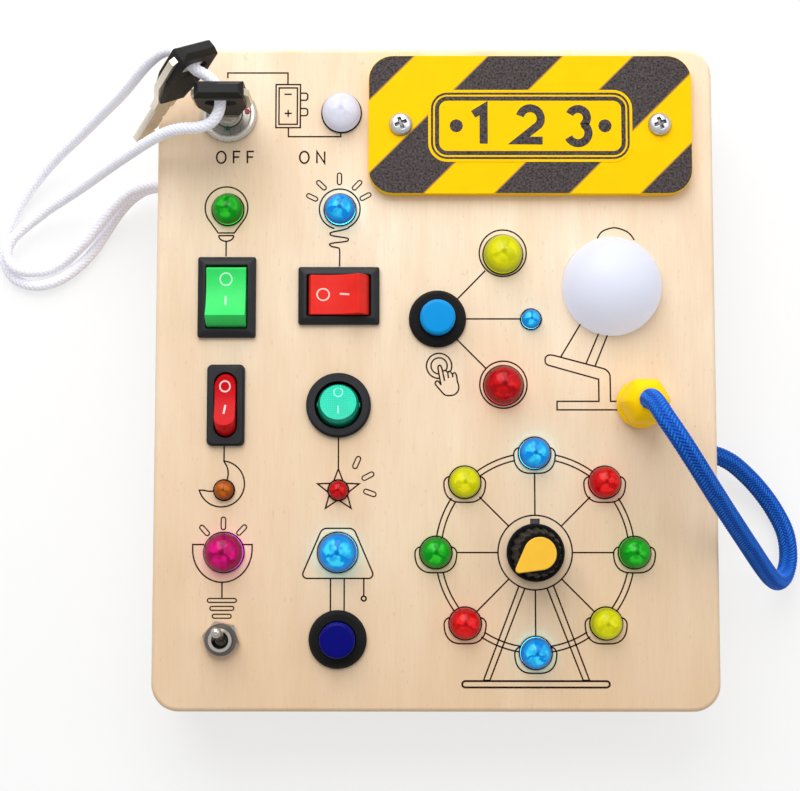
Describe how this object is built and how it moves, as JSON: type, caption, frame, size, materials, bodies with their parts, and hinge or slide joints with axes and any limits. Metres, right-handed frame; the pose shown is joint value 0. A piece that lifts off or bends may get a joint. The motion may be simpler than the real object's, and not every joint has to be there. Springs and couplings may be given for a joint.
{
  "type": "busy board",
  "caption": "Small wooden busy board for children: a hollow wooden box with working switches, buttons, lamps, a key lock, a knob and a plug on its printed face.",
  "frame": {"origin": "centre of the flat back face", "axes": "+X to the right and +Y up the board, toward the sign plate; +Z out of the printed face"},
  "size_m": [0.2199, 0.172, 0.0609],
  "materials": {
    "wood_face": "printed birch plywood",
    "wood_rim": "sanded beech",
    "wood_back": "thin plywood",
    "steel": "zinc plated",
    "nickel": "nickel plated",
    "sign_yellow": "two-colour engraving plastic",
    "key_plate": "nickel-plated brass",
    "grip_black": "moulded",
    "white_cord": "braided cotton",
    "blue_cord": "braided polyester",
    "knots": "braided cord, tied",
    "black_plastic": "moulded nylon",
    "green_rocker": "moulded",
    "red_rocker": "moulded",
    "slim_rocker": "moulded",
    "teal_rocker": "moulded, translucent",
    "navy_cap": "moulded",
    "sky_cap": "moulded",
    "knob_black": "moulded, fluted",
    "pointer_yellow": "moulded",
    "sensor_black": "moulded",
    "dome_white": "frosted",
    "green_lens": "clear tinted",
    "blue_lens": "clear tinted",
    "yellow_lens": "clear tinted",
    "red_lens": "clear tinted",
    "amber_lens": "clear tinted",
    "magenta_lens": "clear tinted",
    "plug_yellow": "moulded",
    "box_black": "moulded",
    "battery": "wrapped steel can",
    "circuit_green": "glass-epoxy circuit board",
    "copper": "tinned and insulated"
  },
  "bodies": {
    "board": {"front_panel": "wood_face", "rim_left": "wood_rim", "rim_right": "wood_rim", "rim_top": "wood_rim", "rim_bottom": "wood_rim", "back_panel": "wood_back", "back_screws": "steel", "sign_plate": "sign_yellow", "sign_screws": "steel", "key_lock_housing": "nickel", "spare_key_plate": "key_plate", "spare_key_grip": "grip_black", "key_cord": "white_cord", "plug_cord": "blue_cord", "cord_knots": "knots", "green_switch_housing": "black_plastic", "red_switch_housing": "black_plastic", "slim_switch_housing": "black_plastic", "round_switch_housing": "black_plastic", "dark_button_housing": "black_plastic", "light_button_housing": "black_plastic", "toggle_case": "nickel", "potentiometer": "sensor_black", "lamp_dome": "dome_white", "lamp_board": "circuit_green", "status_led": "dome_white", "green_leds": "green_lens", "blue_leds": "blue_lens", "yellow_leds": "yellow_lens", "red_leds": "red_lens", "amber_led": "amber_lens", "small_red_led": "red_lens", "small_blue_led": "blue_lens", "large_magenta_led": "magenta_lens", "large_blue_led": "blue_lens", "large_yellow_led": "yellow_lens", "large_red_led": "red_lens", "jack_socket": "sensor_black", "battery_box": "box_black", "batteries": "battery", "control_board": "circuit_green", "mounting_nuts": "nickel", "wiring": "copper"},
    "key": {"lock_cylinder": "nickel", "key_plate": "key_plate", "key_grip": "grip_black"},
    "green_rocker": {"green_rocker": "green_rocker"},
    "red_rocker": {"red_rocker": "red_rocker"},
    "slim_rocker": {"slim_rocker": "slim_rocker"},
    "round_rocker": {"round_rocker": "teal_rocker"},
    "dark_button": {"dark_button_cap": "navy_cap"},
    "light_button": {"light_button_cap": "sky_cap"},
    "toggle": {"toggle_lever": "nickel"},
    "knob": {"knob_shaft": "steel", "knob": "knob_black", "knob_pointer": "pointer_yellow"},
    "plug": {"plug_grip": "plug_yellow", "plug_pin": "nickel"},
    "battery_door": {"battery_door": "box_black", "door_screw": "steel"}
  },
  "joints": [
    {"name": "key_turn", "type": "hinge", "parent": "board", "child": "key", "pos_m": [-0.054, 0.0683, 0.04], "axis": [0, 0, 1], "range_deg": [-90, 0], "deforming": ["key_cord"]},
    {"name": "green_rocker_press", "type": "hinge", "parent": "board", "child": "green_rocker", "pos_m": [-0.054, 0.02, 0.03], "axis": [1, 0, 0], "range_deg": [0, 22]},
    {"name": "red_rocker_press", "type": "hinge", "parent": "board", "child": "red_rocker", "pos_m": [-0.025, 0.0204, 0.03], "axis": [0, 1, 0], "range_deg": [0, 22]},
    {"name": "slim_rocker_press", "type": "hinge", "parent": "board", "child": "slim_rocker", "pos_m": [-0.054, -0.008, 0.03], "axis": [1, 0, 0], "range_deg": [0, 22]},
    {"name": "round_rocker_press", "type": "hinge", "parent": "board", "child": "round_rocker", "pos_m": [-0.025, -0.008, 0.0306], "axis": [1, 0, 0], "range_deg": [0, 22]},
    {"name": "dark_button_press", "type": "slide", "parent": "board", "child": "dark_button", "axis": [0, 0, -1], "range_m": [0, 0.0024], "stiffness_N_per_m": 400, "springref_m": -0.002},
    {"name": "light_button_press", "type": "slide", "parent": "board", "child": "light_button", "axis": [0, 0, -1], "range_m": [0, 0.0024], "stiffness_N_per_m": 400, "springref_m": -0.002},
    {"name": "toggle_flip", "type": "hinge", "parent": "board", "child": "toggle", "pos_m": [-0.0546, -0.0677, 0.0306], "axis": [1, 0, 0], "range_deg": [0, 25]},
    {"name": "knob_turn", "type": "hinge", "parent": "board", "child": "knob", "pos_m": [0.0254, -0.0457, 0.04], "axis": [0, 0, 1], "range_deg": [-277, 23]},
    {"name": "plug_pull", "type": "slide", "parent": "board", "child": "plug", "axis": [0, 0, 1], "range_m": [0, 0.016], "deforming": ["plug_cord"]},
    {"name": "battery_door_remove", "type": "slide", "parent": "board", "child": "battery_door", "axis": [0, 0, -1], "range_m": [0, 0.012]}
  ]
}
